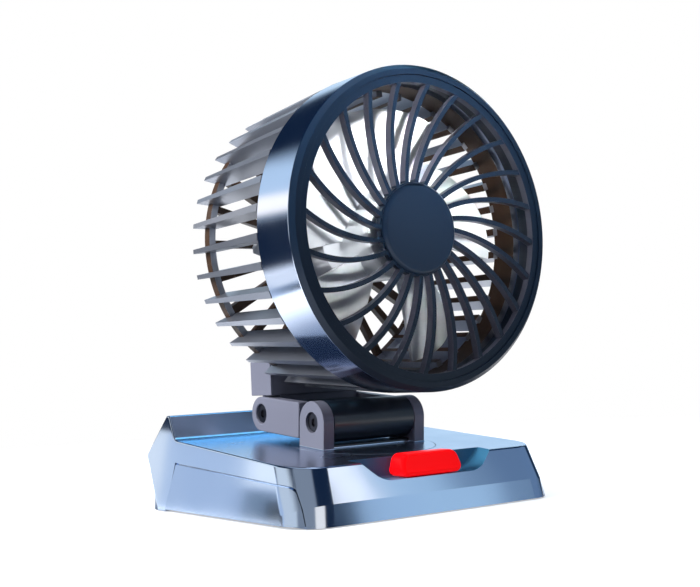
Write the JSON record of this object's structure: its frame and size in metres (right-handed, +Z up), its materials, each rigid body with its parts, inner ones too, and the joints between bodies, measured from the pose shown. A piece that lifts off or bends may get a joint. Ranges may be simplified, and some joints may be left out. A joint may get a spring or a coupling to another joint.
{
  "type": "folding desk fan",
  "caption": "Small folding fan: round finned drum head with a curved-spoke grille, on a double hinge over a turntable and a bright wedge base with a red push bar.",
  "frame": {"origin": "middle of the base on the table plane, under the rubber pad", "axes": "+Z up, +X to the right seen from the front, the fan blows towards -Y and the base is entered by its lead from +Y"},
  "size_m": [0.108, 0.108, 0.147],
  "materials": {
    "shell_plate": "bright plated, silver blue",
    "panel_plate": "bright plated, silver blue",
    "cover_black": "matt",
    "pad_rubber": "matt",
    "fastener_steel": "zinc plated",
    "board_green": "lacquered board",
    "switch_black": "matt",
    "socket_steel": "nickel plated",
    "bar_red": "gloss",
    "hinge_grey": "satin, grey lavender",
    "pin_steel": "dark plated",
    "link_dark": "satin, near black",
    "cage_grey": "satin, light grey lavender",
    "band_plate": "bright plated, blue",
    "grille_navy": "satin, navy",
    "motor_can": "plated can",
    "blade_white": "gloss",
    "lock_brass": "turned"
  },
  "bodies": {
    "base": {"base_shell": "shell_plate", "side_panel_left": "panel_plate", "side_panel_right": "panel_plate", "bottom_cover": "cover_black", "grip_pad": "pad_rubber", "cover_screws": "fastener_steel", "circuit_board": "board_green", "push_switch": "switch_black", "power_socket": "socket_steel"},
    "button": {"push_bar": "bar_red"},
    "table": {"turntable": "hinge_grey", "turntable_ring": "fastener_steel", "front_pin": "pin_steel", "front_nut": "pin_steel"},
    "link": {"link_body": "link_dark", "cheek_left": "hinge_grey", "cheek_right": "hinge_grey", "rear_pin": "pin_steel", "rear_nut": "pin_steel"},
    "head": {"neck": "hinge_grey", "motor_mount": "cage_grey", "motor_screws": "fastener_steel", "fin_cage": "cage_grey", "front_band": "band_plate", "front_grille": "grille_navy", "hub_cap": "grille_navy", "rear_cap": "hinge_grey", "motor": "motor_can"},
    "rotor": {"impeller": "blade_white", "motor_shaft": "fastener_steel", "shaft_lock": "lock_brass"}
  },
  "joints": [
    {"name": "button_press", "type": "slide", "parent": "base", "child": "button", "axis": [0, 1, 0], "range_m": [0, 0.001], "stiffness_N_per_m": 1500, "springref_m": -0.001},
    {"name": "table_turn", "type": "hinge", "parent": "base", "child": "table", "pos_m": [0, -0.0127, 0.02136], "axis": [0, -0.0889, 0.996], "range_deg": [-60, 60]},
    {"name": "link_lift", "type": "hinge", "parent": "table", "child": "link", "pos_m": [0, -0.01349, 0.03022], "axis": [1, 0, 0], "range_deg": [0, 20]},
    {"name": "head_tilt", "type": "hinge", "parent": "link", "child": "head", "pos_m": [0, 0.01878, 0.0331], "axis": [1, 0, 0], "range_deg": [-50, 0]},
    {"name": "rotor_spin", "type": "hinge", "parent": "head", "child": "rotor", "pos_m": [0, -0.0545, 0.093], "axis": [0, 1, 0], "continuous": true}
  ]
}
